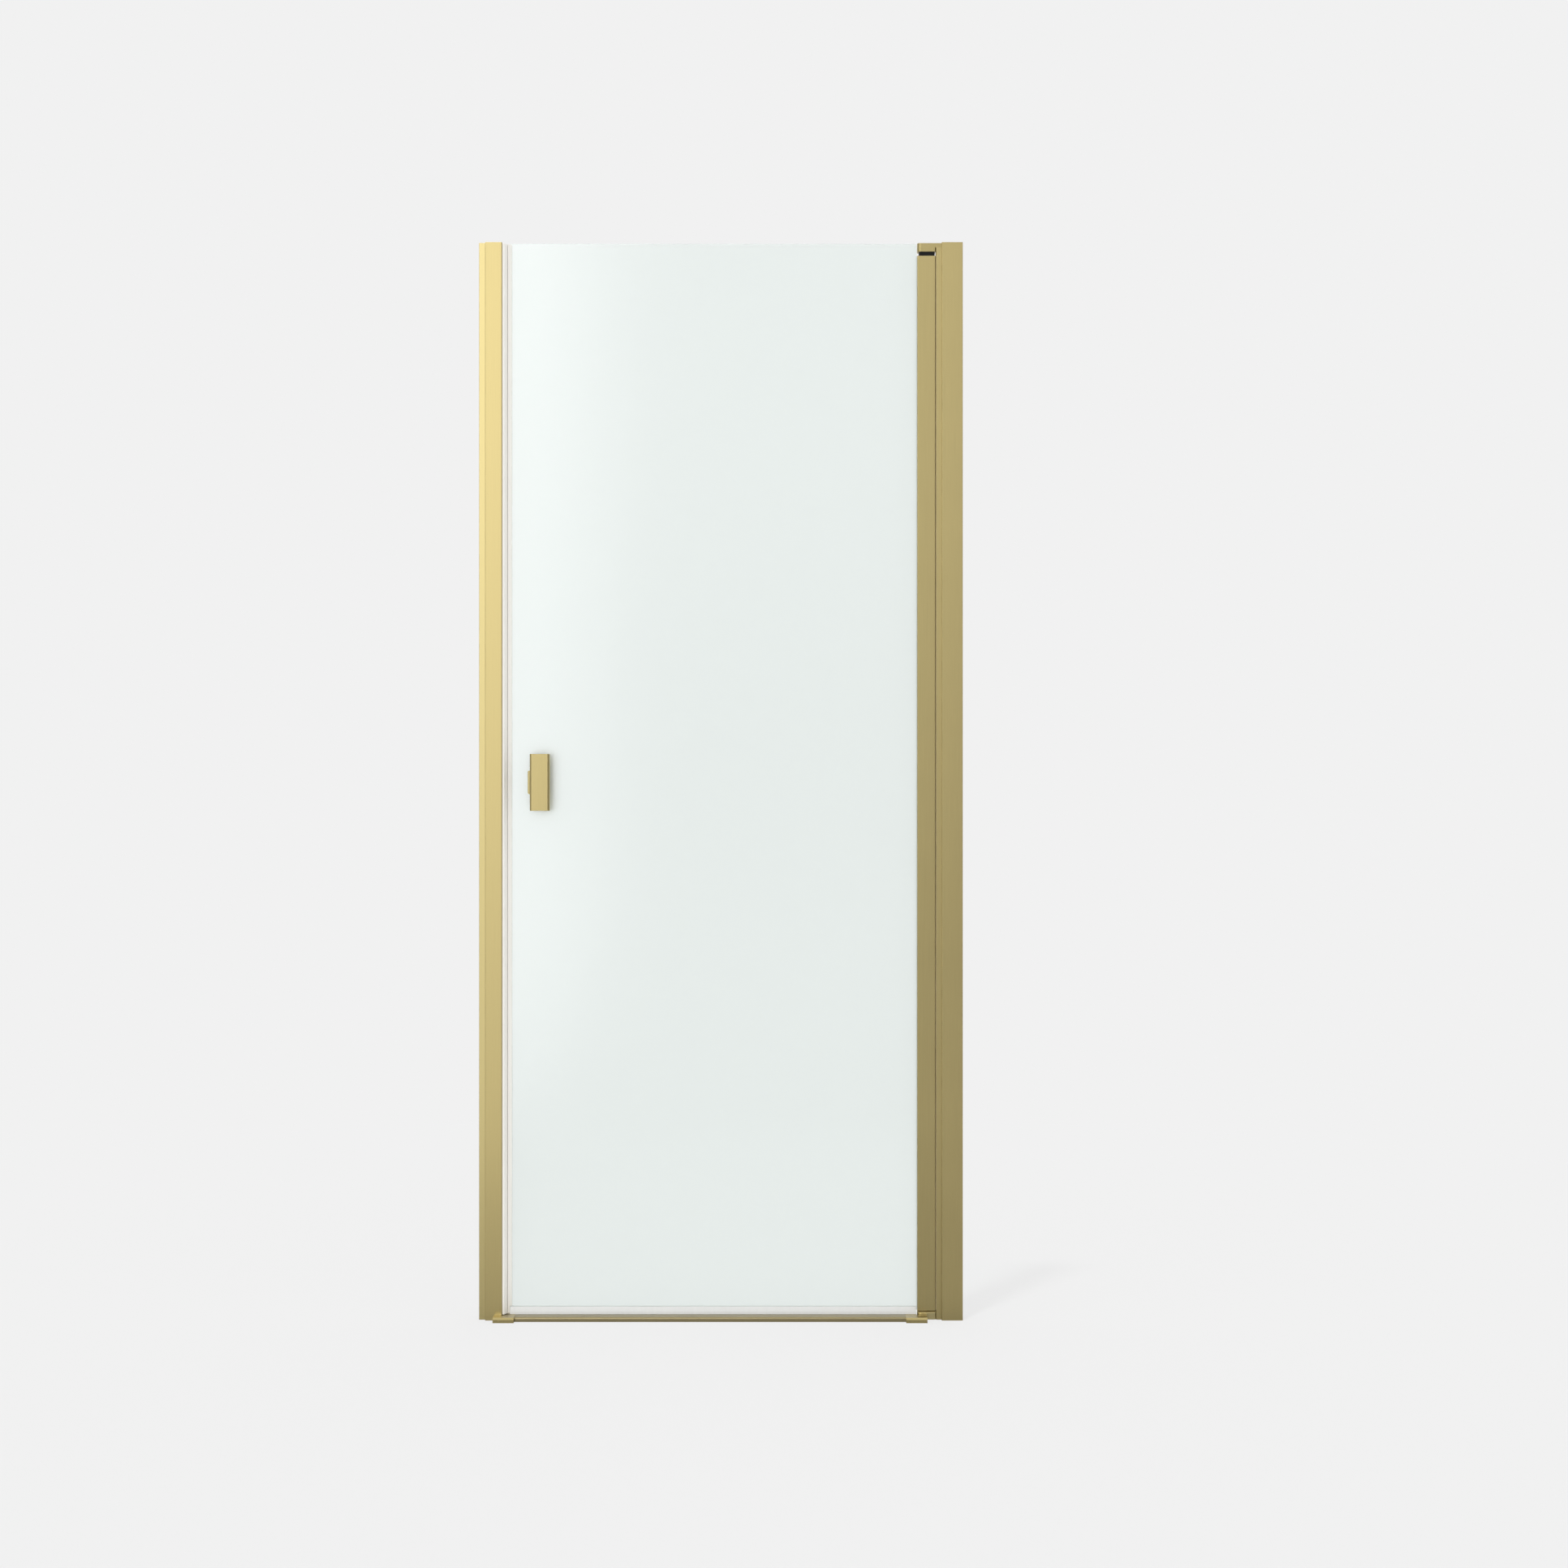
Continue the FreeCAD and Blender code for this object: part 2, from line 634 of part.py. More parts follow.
def bottom_seal():
    """Clear seal clipped on the lower edge of the glass, with two lips over the sill."""
    x0, x1 = glass_left + 0.2, hinge_left - 1.7
    inner = half_glass + 0.05
    outer = half_glass + 1.4
    base = glass_bottom - 2.2
    parts = [
        box(x0, x1, -outer, outer, base, glass_bottom - 0.1),
        box(x0, x1, -outer, -inner, base, seal_top),
        box(x0, x1, inner, outer, base, seal_top),
        prism([(-outer, base + 1.2, 0), (-outer - 2.8, seal_lip + 0.3, 0), (-outer - 1.8, seal_lip, 0),
               (-outer + 1.2, base + 0.2, 0)], "x", x0, x1),
        prism([(0.8, base + 0.2, 0), (3.2, seal_lip, 0), (4.2, seal_lip + 0.3, 0), (2.2, base + 0.2, 0)],
              "x", x0, x1),
    ]
    return join(parts)


# ---------------------------------------------------------------- the handle, alike on both faces
def stud_heights():
    return [handle_z - stud_spacing / 2, handle_z + stud_spacing / 2]


def handle_plate_front():
    """Pull plate: a flat bar with rounded long edges, held off the glass on one side."""
    corners = [(plate_left, -plate_back, 0.8), (plate_left, -plate_front, plate_edge),
               (plate_right, -plate_front, plate_edge), (plate_right, -plate_back, 0.8)]
    half = plate_size[1] / 2
    plate = prism(corners, "z", handle_z - half, handle_z + half)
    ends = (handle_z - half, handle_z + half)
    plate = chamfer_where(plate, 0.5, lambda p: min(abs(p.z - ends[0]), abs(p.z - ends[1])) < 0.01)
    for z in stud_heights():
        plate = plate.cut(rod("y", plate_screw_x, z, screw_radius, -plate_back - 4.5, -plate_back + 1))
    return plate


def handle_plate_rear():
    return mirror_y(handle_plate_front())


def handle_block_front():
    """The spacer block between plate and glass, with stud holes and counterbored screw holes."""
    half = block_size[1] / 2
    near = half_glass + pad
    body = prism(rectangle(block_left, block_right, handle_z - half, handle_z + half, block_round),
                 "y", -plate_back, -near)
    for z in stud_heights():
        body = body.cut(rod("y", stud_x, z, stud_radius, -stud_reach - 0.5, 0))
        body = body.cut(rod("y", plate_screw_x, z, screw_radius, -plate_back - 1, 0))
        body = body.cut(rod("y", plate_screw_x, z, 3.5, -near - 3.4, 0))
    return body


def handle_block_rear():
    """The rear block also takes two grub screws, from below and from above, that clamp the studs."""
    body = mirror_y(handle_block_front())
    half = block_size[1] / 2
    low_stud, high_stud = stud_heights()
    body = body.cut(rod("z", stud_x, grub_y, screw_radius, handle_z - half - 1, low_stud))
    return body.cut(rod("z", stud_x, grub_y, screw_radius, high_stud, handle_z + half + 1))


def handle_grub_screws():
    low_end = handle_z - block_size[1] / 2 + 0.6
    high_end = handle_z + block_size[1] / 2 - 0.6
    reach = stud_radius + 0.02
    low_stud, high_stud = stud_heights()
    low = rod("z", stud_x, grub_y, screw_radius, low_end, low_stud - reach)
    high = rod("z", stud_x, grub_y, screw_radius, high_stud + reach, high_end)
    low = low.cut(hex_socket("z", stud_x, grub_y, 2.0, low_end - 0.1, low_end + 2.0))
    high = high.cut(hex_socket("z", stud_x, grub_y, 2.0, high_end - 2.0, high_end + 0.1))
    return Part.makeCompound([low, high])


def handle_studs():
    return Part.makeCompound([rod("y", stud_x, z, stud_radius, -stud_reach, stud_reach) for z in stud_heights()])


def handle_bushes():
    """Sleeves that keep the studs off the edges of the holes in the glass."""
    bushes = []
    for z in stud_heights():
        sleeve = rod("y", stud_x, z, 5.9, -half_glass, half_glass)
        bore = rod("y", stud_x, z, stud_radius + running_fit, -half_glass - 1, half_glass + 1)
        bushes.append(sleeve.cut(bore))
    return Part.makeCompound(bushes)


def handle_pads():
    """Thin washers between the blocks and the glass."""
    half = block_size[1] / 2 - 1.0
    sheet = prism(rectangle(block_left + 1.0, block_right - 1.0, handle_z - half, handle_z + half, 2.0),
                  "y", -half_glass - pad, -half_glass)
    for z in stud_heights():
        sheet = sheet.cut(rod("y", stud_x, z, stud_radius + running_fit, -half_glass - 1, 0))
    return Part.makeCompound([sheet, mirror_y(sheet)])


def handle_plate_screws():
    screws = []
    seat = -half_glass - pad - 3.4
    for z in stud_heights():
        head = rod("y", plate_screw_x, z, 3.3, seat, seat + 2.6)
        shank = rod("y", plate_screw_x, z, screw_radius, -plate_back - 4.2, seat)
        socket = hex_socket("y", plate_screw_x, z, 2.5, seat + 1.2, seat + 2.7)
        screw = join([head, shank]).cut(socket)
        screws.append(screw)
        screws.append(mirror_y(screw))
    return Part.makeCompound(screws)


PIECES = [
    wall_profile_left, wall_profile_right, sill_bar, sill_cap_left, sill_cap_right,
    strike_profile, strike_seal, strike_magnet, strike_adjust_screws, strike_nut_plates,
    slider_profile, upper_bracket, lower_bracket, upper_pivot_pin, lower_pivot_pin, lower_cam,
    bracket_screws, hinge_adjust_screws, hinge_nut_plates,
    upper_pivot_block,
    hinge_profile, seam_seal, glass_pane, glazing_gasket_front, glazing_gasket_rear, cam_follower, follower_screw,
    door_seal, door_magnet, bottom_seal,
    handle_plate_front, handle_plate_rear, handle_block_front, handle_block_rear, handle_grub_screws,
    handle_studs, handle_bushes, handle_pads, handle_plate_screws,
]

os.makedirs("parts", exist_ok=True)
for piece in PIECES:
    shape = piece()
    shape.exportStep("parts/" + piece.__name__ + ".step")
    print(piece.__name__, len(shape.Solids), "solids,", round(shape.Volume / 1000, 2), "cm3")
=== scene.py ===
import bmesh
import bpy
import math
from mathutils import Matrix, Vector


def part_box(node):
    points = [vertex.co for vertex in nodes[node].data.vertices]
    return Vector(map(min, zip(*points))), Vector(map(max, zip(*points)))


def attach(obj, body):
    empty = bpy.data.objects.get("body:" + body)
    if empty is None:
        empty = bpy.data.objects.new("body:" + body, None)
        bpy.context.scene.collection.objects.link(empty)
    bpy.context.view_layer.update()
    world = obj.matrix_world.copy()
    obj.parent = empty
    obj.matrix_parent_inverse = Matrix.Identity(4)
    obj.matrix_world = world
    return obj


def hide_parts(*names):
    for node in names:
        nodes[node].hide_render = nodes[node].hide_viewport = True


# Framed pivot shower door, shown closed. Metres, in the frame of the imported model:
# X from the strike side to the hinge side, Y from the room into the shower, Z up.
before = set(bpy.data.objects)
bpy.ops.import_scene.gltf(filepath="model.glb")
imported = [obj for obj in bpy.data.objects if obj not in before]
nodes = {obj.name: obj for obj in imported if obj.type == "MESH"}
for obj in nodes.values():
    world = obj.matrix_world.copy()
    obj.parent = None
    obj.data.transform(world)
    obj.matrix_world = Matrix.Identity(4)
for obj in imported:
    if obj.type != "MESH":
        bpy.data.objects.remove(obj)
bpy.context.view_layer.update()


# ---- Wall channels -------------------------------------------------------------------------
# Two aluminium channels screwed to the walls, brushed along their length and anodised in a
# brass tone. Their ends are sawn square and show the saw's fine lines.
FLOAT, COLOUR, VECTOR = "NodeSocketFloat", "NodeSocketColor", "NodeSocketVector"


def node_group(name, inputs, outputs):
    """An empty shader node group, the sockets it is given and the sockets it fills.

    inputs are (name, type, value) and outputs are (name, type)."""
    group = bpy.data.node_groups.new(name, "ShaderNodeTree")
    for label, kind, value in inputs:
        socket = group.interface.new_socket(name=label, in_out="INPUT", socket_type=kind)
        socket.default_value = value
    for label, kind in outputs:
        group.interface.new_socket(name=label, in_out="OUTPUT", socket_type=kind)
    given = group.nodes.new("NodeGroupInput").outputs
    filled = group.nodes.new("NodeGroupOutput").inputs
    return group, given, filled


def add(tree, kind, links=(), **settings):
    """A node with its properties set. links are (input, the socket or value that it takes)."""
    made = tree.nodes.new(kind)
    for key, value in settings.items():
        setattr(made, key, value)
    for target, source in links:
        if isinstance(source, bpy.types.NodeSocket):
            tree.links.new(source, made.inputs[target])
        else:
            made.inputs[target].default_value = source
    return made


def math_node(tree, operation, a, b=0.0, clamp=False):
    links = [(0, a), (1, b)]
    return add(tree, "ShaderNodeMath", links, operation=operation, use_clamp=clamp).outputs[0]


def plus(tree, a, b):
    return math_node(tree, "ADD", a, b)


def minus(tree, a, b):
    return math_node(tree, "SUBTRACT", a, b)


def times(tree, a, b):
    return math_node(tree, "MULTIPLY", a, b)


def ramp(tree, value, start, end, smooth=False):
    """A value turned into another: start and end are each (the value, what it becomes)."""
    links = [("Value", value), ("From Min", start[0]), ("From Max", end[0]),
             ("To Min", start[1]), ("To Max", end[1])]
    kind = "SMOOTHSTEP" if smooth else "LINEAR"
    return add(tree, "ShaderNodeMapRange", links, interpolation_type=kind).outputs[0]


def tint(tree, factor, a, b):
    """Colour a, turning into colour b as the factor goes from 0 to 1."""
    links = [(0, factor), (6, a), (7, b)]
    return add(tree, "ShaderNodeMix", links, data_type="RGBA").outputs[2]


def noise(tree, where, scale, detail, roughness=0.5):
    links = [("Vector", where), ("Scale", scale), ("Detail", detail), ("Roughness", roughness)]
    return add(tree, "ShaderNodeTexNoise", links).outputs["Fac"]


def stretch(tree, where, amounts):
    """Coordinates stretched by an amount along each axis."""
    links = [(0, where), (1, amounts)]
    return add(tree, "ShaderNodeVectorMath", links, operation="MULTIPLY").outputs[0]


def parts(tree, vector):
    """The X, Y and Z of a vector."""
    return add(tree, "ShaderNodeSeparateXYZ", [(0, vector)]).outputs


# Brushed metal: long fine scratches, a slow change of tone, and sawn ends that are paler,
# rougher and lined by the saw.
brushed, given, filled = node_group(
    "brushed_metal",
    [("Tone", COLOUR, (0.5, 0.4, 0.2, 1.0)), ("Stretch", VECTOR, (900.0, 900.0, 14.0)),
     ("Scratch", FLOAT, 0.05), ("Smooth", FLOAT, 0.28), ("Rough", FLOAT, 0.38),
     ("Sawn", FLOAT, 1.0)],
    [("Colour", COLOUR), ("Roughness", FLOAT), ("Height", FLOAT)])
place = add(brushed, "ShaderNodeTexCoord").outputs
scratches = noise(brushed, stretch(brushed, place["Object"], given["Stretch"]), 1.0, 3.0, 0.65)
patches = noise(brushed, place["Object"], 7.0, 2.0)
saw_lines = add(brushed, "ShaderNodeTexWave",
                [("Vector", place["Object"]), ("Scale", 900.0), ("Distortion", 1.5),
                 ("Detail", 1.0)], bands_direction="DIAGONAL").outputs["Fac"]
up_or_down = math_node(brushed, "ABSOLUTE", parts(brushed, place["Normal"])["Z"])
level_enough = 0.93                                    # a face this level is a sawn end
end_face = times(brushed, math_node(brushed, "GREATER_THAN", up_or_down, level_enough),
                 given["Sawn"])
wear = plus(brushed, times(brushed, scratches, 0.75), times(brushed, patches, 0.25))
shade = times(brushed, ramp(brushed, wear, (0.3, -1.0), (0.7, 1.0)), given["Scratch"])
side_tone = add(brushed, "ShaderNodeVectorMath",
                [(0, given["Tone"]), ("Scale", plus(brushed, shade, 1.0))],
                operation="SCALE").outputs[0]
end_tone = tint(brushed, 0.25, given["Tone"], (0.75, 0.72, 0.62, 1.0))
brushed.links.new(tint(brushed, end_face, side_tone, end_tone), filled["Colour"])
spread = minus(brushed, given["Rough"], given["Smooth"])
side_rough = plus(brushed, given["Smooth"], times(brushed, spread, wear))
brushed.links.new(plus(brushed, side_rough, times(brushed, end_face, 0.08)), filled["Roughness"])
side_height = times(brushed, minus(brushed, 1.0, end_face), scratches)
end_height = times(brushed, end_face, saw_lines)
brushed.links.new(plus(brushed, end_height, side_height), filled["Height"])


def finish(name, surface, look, bump, **values):
    """A material: one Principled shader that takes its changing tone, roughness and relief from
    a surface group. look sets the group's inputs, and values the shader's own sockets."""
    made = bpy.data.materials.new(name)
    made.use_nodes = True
    tree = made.node_tree
    shader = tree.nodes["Principled BSDF"]
    for label, value in values.items():
        shader.inputs[label.replace("_", " ")].default_value = value
    group = add(tree, "ShaderNodeGroup", look.items(), node_tree=surface)
    relief = add(tree, "ShaderNodeBump", [("Height", group.outputs["Height"]), ("Strength", 1.0),
                                          ("Distance", bump)])
    if group.outputs.get("Colour"):
        tree.links.new(group.outputs["Colour"], shader.inputs["Base Color"])
    tree.links.new(group.outputs["Roughness"], shader.inputs["Roughness"])
    tree.links.new(relief.outputs["Normal"], shader.inputs["Normal"])
    return made


mm = 0.001
fine_relief = 0.004 * mm                               # how deep brushing and plastic skin are


def metal_finish(name, tone, grain, smooth, rough, sawn=0.0, bump=fine_relief):
    """Metal of one tone. grain is how fine its scratches are along X, Y and Z."""
    look = {"Tone": (*tone, 1.0), "Stretch": grain, "Smooth": smooth, "Rough": rough,
            "Sawn": sawn}
    return finish(name, brushed, look, bump, Metallic=1.0)


def extruded_brass(name, tone):
    """Anodised aluminium, brushed upright and sawn at its ends. Each length is given its own tone:
    the left channel's paler one is painted highlight and the right side's darker ones are painted
    shade.
    """
    return metal_finish(name, tone, (1500.0, 1500.0, 12.0), 0.30, 0.40, sawn=1.0)


def dress(node, look):
    """Gives a carried-over node its finish."""
    mesh = nodes[node].data
    mesh.materials.clear()
    mesh.materials.append(look)


# one anodised finish in lit and shaded copies: the left channel paler as painted highlight, the
# right channel darker as painted shade
lit_left_brass = extruded_brass("lit_left_brass", (0.55, 0.458, 0.214))
shaded_right_brass = extruded_brass("shaded_right_brass", (0.46, 0.377, 0.174))
dress("wall_profile_left", lit_left_brass)
dress("wall_profile_right", shaded_right_brass)


# ---- Strike profile ------------------------------------------------------------------------
# The wide profile that slides over the left channel and is clamped when the door is adjusted.
# The same brushed and anodised aluminium.
upright_brass = extruded_brass("upright_brass", (0.50, 0.41, 0.187))
dress("strike_profile", upright_brass)


# ---- Strike seal and its magnet ------------------------------------------------------------
# Milky soft plastic, extruded nearly as wide as the profile, with a barbed foot that snaps into
# its groove and two empty chambers. A dark magnetic strip is pushed into the nose's pocket.
def corner_arc(before, corner, after, radius, steps):
    """Points of an arc that rounds one corner of an outline."""
    back = (before - corner).normalized()
    ahead = (after - corner).normalized()
    half = back.angle(ahead) / 2
    shorter_side = min((before - corner).length, (after - corner).length)
    reach = min(radius / math.tan(half), 0.49 * shorter_side)
    radius = reach * math.tan(half)
    centre = corner + (back + ahead).normalized() * (radius / math.sin(half))
    start = corner + back * reach - centre
    turn = start.angle_signed(corner + ahead * reach - centre)
    return [centre + Matrix.Rotation(-turn * i / steps, 2) @ start for i in range(steps + 1)]


def outline(corners, steps=5):
    """A closed outline in metres from corners in millimetres: (a, b, rounding)."""
    points = []
    for i, (a, b, radius) in enumerate(corners):
        corner = Vector((a, b))
        if radius <= 0:
            points.append(corner)
            continue
        before = Vector(corners[i - 1][:2])
        after = Vector(corners[(i + 1) % len(corners)][:2])
        points.extend(corner_arc(before, corner, after, radius, steps))
    return [p * mm for p in points]


def slab(outlines, axis, low, high, edge, edge_steps=2):
    """A mesh of outlines drawn along an axis from low to high, its rims rounded by edge, in mm.

    The first outline is the outside and the others are holes. An outline's two numbers lie on
    the other two axes, in X, Y, Z order."""
    curve = bpy.data.curves.new("outline", "CURVE")
    curve.dimensions = "2D"
    curve.fill_mode = "BOTH"
    for points in outlines:
        spline = curve.splines.new("POLY")
        spline.points.add(len(points) - 1)
        for point, target in zip(points, spline.points):
            target.co = (point.x, point.y, 0.0, 1.0)
        spline.use_cyclic_u = True
    curve.extrude = (high - low) / 2 * mm - edge * mm
    curve.bevel_depth = edge * mm
    curve.offset = -edge * mm
    curve.bevel_resolution = edge_steps
    maker = bpy.data.objects.new("outline", curve)
    bpy.context.scene.collection.objects.link(maker)
    bpy.context.view_layer.update()
    drawn = maker.evaluated_get(bpy.context.evaluated_depsgraph_get())
    mesh = bpy.data.meshes.new_from_object(drawn)
    bpy.data.objects.remove(maker)
    middle = (low + high) / 2 * mm
    turned = {
        "x": Matrix(((0, 0, 1, middle), (1, 0, 0, 0), (0, 1, 0, 0), (0, 0, 0, 1))),
        "y": Matrix(((1, 0, 0, 0), (0, 0, -1, middle), (0, 1, 0, 0), (0, 0, 0, 1))),
        "z": Matrix.Translation((0, 0, middle)),
    }
    mesh.transform(turned[axis])
    return mesh


def piece(name, meshes, look, body, slot, *replaced):
    """One object of one or more welded meshes, smooth over its rounded rims, on its body."""
    shape = bmesh.new()
    for mesh in meshes:
        part = bmesh.new()
        part.from_mesh(mesh)
        bmesh.ops.remove_doubles(part, verts=part.verts, dist=1e-6)
        bmesh.ops.recalc_face_normals(part, faces=part.faces)
        part.to_mesh(mesh)
        part.free()
        shape.from_mesh(mesh)
        bpy.data.meshes.remove(mesh)
    joined = bpy.data.meshes.new(name)
    shape.to_mesh(joined)
    shape.free()
    joined.polygons.foreach_set("use_smooth", [True] * len(joined.polygons))
    joined.set_sharp_from_angle(angle=math.radians(35))
    joined.materials.append(look)
    made = bpy.data.objects.new(name, joined)
    bpy.context.scene.collection.objects.link(made)
    made.modifiers.new("even_normals", "WEIGHTED_NORMAL").keep_sharp = True
    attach(made, body)
    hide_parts(*replaced)


def ends(node):
    """A node's lowest and highest corners, in mm."""
    low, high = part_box(node)
    return low / mm, high / mm


seal_low, seal_high = ends("strike_seal")
tip_x = seal_high.x                                    # the nose's tip
face_x = ends("strike_profile")[1].x                   # the profile's face that holds the seal
meeting_line = (tip_x + ends("door_seal")[0].x) / 2 * mm
magnet_off = 2.5 * mm                                  # each magnet's middle, off that line

# Soft extruded plastic: a faint cloudiness along its length and a very fine skin. Two narrow
# stripes beside the meeting line, over the magnets, are painted darker: partly the magnets showing
# through, partly painted shade of the meeting gap.
soft_skin, given, filled = node_group(
    "soft_extrusion",
    [("Tone", COLOUR, (0.8, 0.8, 0.8, 1.0)), ("Cloud", COLOUR, (0.7, 0.7, 0.7, 1.0)),
     ("Smooth", FLOAT, 0.3), ("Rough", FLOAT, 0.5), ("Magnets and gap shade", COLOUR, (0.7, 0.6, 0.6, 1.0)),
     ("Shows", FLOAT, 0.0), ("Meeting", FLOAT, meeting_line)],
    [("Colour", COLOUR), ("Roughness", FLOAT), ("Height", FLOAT)])
place = add(soft_skin, "ShaderNodeTexCoord").outputs["Object"]
cloud = noise(soft_skin, stretch(soft_skin, place, (160.0, 160.0, 9.0)), 1.0, 2.0)
pores = noise(soft_skin, place, 2600.0, 2.0)
cloudy = ramp(soft_skin, cloud, (0.35, 0.0), (0.75, 1.0))
milk = tint(soft_skin, cloudy, given["Tone"], given["Cloud"])
off_line = minus(soft_skin, parts(soft_skin, place)["X"], given["Meeting"])
off_magnet = minus(soft_skin, math_node(soft_skin, "ABSOLUTE", off_line), magnet_off)
stripe = ramp(soft_skin, math_node(soft_skin, "ABSOLUTE", off_magnet), (0.8 * mm, 1.0),
              (1.9 * mm, 0.0), smooth=True)
# painted shade of the meeting gap, together with the magnets showing through
magnets_and_gap_shade = times(soft_skin, stripe, given["Shows"])
soft_skin.links.new(tint(soft_skin, magnets_and_gap_shade, milk, given["Magnets and gap shade"]), filled["Colour"])
spread = minus(soft_skin, given["Rough"], given["Smooth"])
soft_skin.links.new(plus(soft_skin, given["Smooth"], times(soft_skin, spread, pores)),
                    filled["Roughness"])
soft_skin.links.new(pores, filled["Height"])


def skin_finish(name, tone, cloud_tone, smooth, rough, bump, magnets_and_gap_shade=None, **values):
    """Soft or moulded plastic. The darker tone given for the stripes over the magnets is partly
    the magnets showing through and partly painted shade of the meeting gap.
    """
    look = {"Tone": (*tone, 1.0), "Cloud": (*cloud_tone, 1.0), "Smooth": smooth, "Rough": rough}
    if magnets_and_gap_shade:
        look.update({"Magnets and gap shade": (*magnets_and_gap_shade, 1.0), "Shows": 1.0})
    return finish(name, soft_skin, look, bump, **values)


def magnet_pocket(low_x):
    """The hollow that a magnetic strip is pushed into, 2.9 by 7.2 mm, from its lowest X."""
    high_x, half = low_x + 2.9, 3.6
    return [(low_x, -half, 0.3), (high_x, -half, 0.3), (high_x, half, 0.3), (low_x, half, 0.3)]


# this copy of the milky plastic is lighter than the door seal's: painted light against the shade
# of the profile's recess
lit_milky_plastic = skin_finish("lit_milky_plastic", (0.95, 0.93, 0.88), (0.93, 0.91, 0.86), 0.32, 0.46,
                            fine_relief, magnets_and_gap_shade=(0.90, 0.87, 0.82))
matt_relief = 0.01 * mm                                # how deep a matt black skin is
magnet_strip = skin_finish("magnet_strip", (0.055, 0.052, 0.05), (0.04, 0.038, 0.036), 0.45, 0.6,
                           matt_relief)
seal_half, back_x = 17.0, 0.05                         # half its width, and its back off the face
barbed_foot = [(-3.8, -2.5, 0.5), (-2.7, -3.3, 0.25), (-2.7, -1.3, 0.25), (back_x, -1.3, 0.2)]
flank = [(back_x, -seal_half, 0.3), (3.6, 0.1 - seal_half, 1.4), (tip_x - face_x, -5.4, 0.6)]
half_seal = barbed_foot + flank
other_half = [(a, -b, rounding) for a, b, rounding in reversed(half_seal)]
section = [(face_x + a, b, rounding) for a, b, rounding in half_seal + other_half]
hollows = [magnet_pocket(tip_x - 3.7)]
skin = 1.0                                             # the plastic round the empty chambers
chamber_back, chamber_out, chamber_in = face_x + back_x + skin, seal_half - skin, 4.7
for side in (-1, 1):
    hollows.append([(chamber_back, side * chamber_out, 0.5),
                    (chamber_back + 2.0, side * chamber_out, 0.6),
                    (tip_x - 0.85, side * chamber_in, 0.4),
                    (chamber_back, side * chamber_in, 0.5)])
rings = [outline(corners) for corners in [section] + hollows]
seal_rim = 0.15                                        # how far cut ends of the seals are rounded
piece("strike_seal_extrusion", [slab(rings, "z", seal_low.z, seal_high.z, seal_rim)],
      lit_milky_plastic, "strike_side", "pale_seal", "strike_seal")
dress("strike_magnet", magnet_strip)


# ---- Sliding profile -----------------------------------------------------------------------
# The narrow profile that carries both pivots and slides into the right channel. A groove round
# the door's axis clears the hinge profile as it turns. It has the right channel's darker tone,
# which is painted shade.
dress("slider_profile", shaded_right_brass)


# ---- Brackets, pins and cam ----------------------------------------------------------------
# Cast brass brackets, blasted and plated, with softened edges. The lower one is painted paler, a
# painted highlight, and the upper one darker, a painted shade. They hold turned steel pins and, at
# the foot, the fixed half of the nylon lift cam.
smooth_shading = bpy.data.node_groups.new("smooth_shading", "GeometryNodeTree")
for way in ("INPUT", "OUTPUT"):
    smooth_shading.interface.new_socket(name="Geometry", in_out=way,
                                        socket_type="NodeSocketGeometry")
rough_mesh = smooth_shading.nodes.new("NodeGroupInput")
smoothed = add(smooth_shading, "GeometryNodeSetShadeSmooth", [("Geometry", rough_mesh.outputs[0])])
add(smooth_shading, "NodeGroupOutput", [(0, smoothed.outputs["Geometry"])])


def soften(node):
    """Rounds the sharp edges of a carried-over node by 0.3 mm, and smooths its shading there."""
    made = nodes[node]
    made.modifiers.new("weld", "WELD").merge_threshold = 1e-6
    bevel = made.modifiers.new("soft_edges", "BEVEL")
    bevel.width = 0.3 * mm
    bevel.segments = 2
    bevel.limit_method = "ANGLE"
    bevel.angle_limit = math.radians(40)
    made.modifiers.new("smooth_shading", "NODES").node_group = smooth_shading
    made.modifiers.new("even_normals", "WEIGHTED_NORMAL")


def cast_metal(name, tone, smooth, rough):
    """Cast brass, blasted to an even grain with no direction, and plated."""
    return metal_finish(name, tone, (1100.0, 1100.0, 1100.0), smooth, rough, bump=0.006 * mm)


# one cast brass in two copies: the upper darker as painted shade, the lower paler as painted
# highlight
shaded_bracket_brass = cast_metal("shaded_bracket_brass", (0.41, 0.337, 0.155), 0.30, 0.38)
lit_foot_brass = cast_metal("lit_foot_brass", (0.60, 0.506, 0.250), 0.24, 0.32)
for node, look in (("upper_bracket", shaded_bracket_brass), ("lower_bracket", lit_foot_brass)):
    dress(node, look)
    soften(node)
bright_steel = metal_finish("bright_steel", (0.58, 0.58, 0.57), (300.0, 300.0, 2600.0), 0.2, 0.34,
                            bump=0.003 * mm)
for node in ("upper_pivot_pin", "lower_pivot_pin"):
    dress(node, bright_steel)
black_nylon = skin_finish("black_nylon", (0.006, 0.006, 0.006), (0.010, 0.010, 0.009), 0.45, 0.6,
                          matt_relief, Specular_IOR_Level=0.2)
dress("lower_cam", black_nylon)


# ---- Upper pivot block ---------------------------------------------------------------------
# Moulded black nylon block on the upper pin. It turns with the door but does not rise with it.
dress("upper_pivot_block", black_nylon)
soften("upper_pivot_block")


# ---- Hinge profile -------------------------------------------------------------------------
# Brushed and anodised profile with its round hollow on the door's axis. A soft strip on its side
# closes the seam, its tan a painted reflection of the brass walls and shade in the gap; rubber
# strips grip the glass, and the cam is screwed into its foot.
# a darker copy of the anodised finish: painted shade on the hinge side
shaded_hinge_brass = extruded_brass("shaded_hinge_brass", (0.44, 0.361, 0.167))
dress("hinge_profile", shaded_hinge_brass)
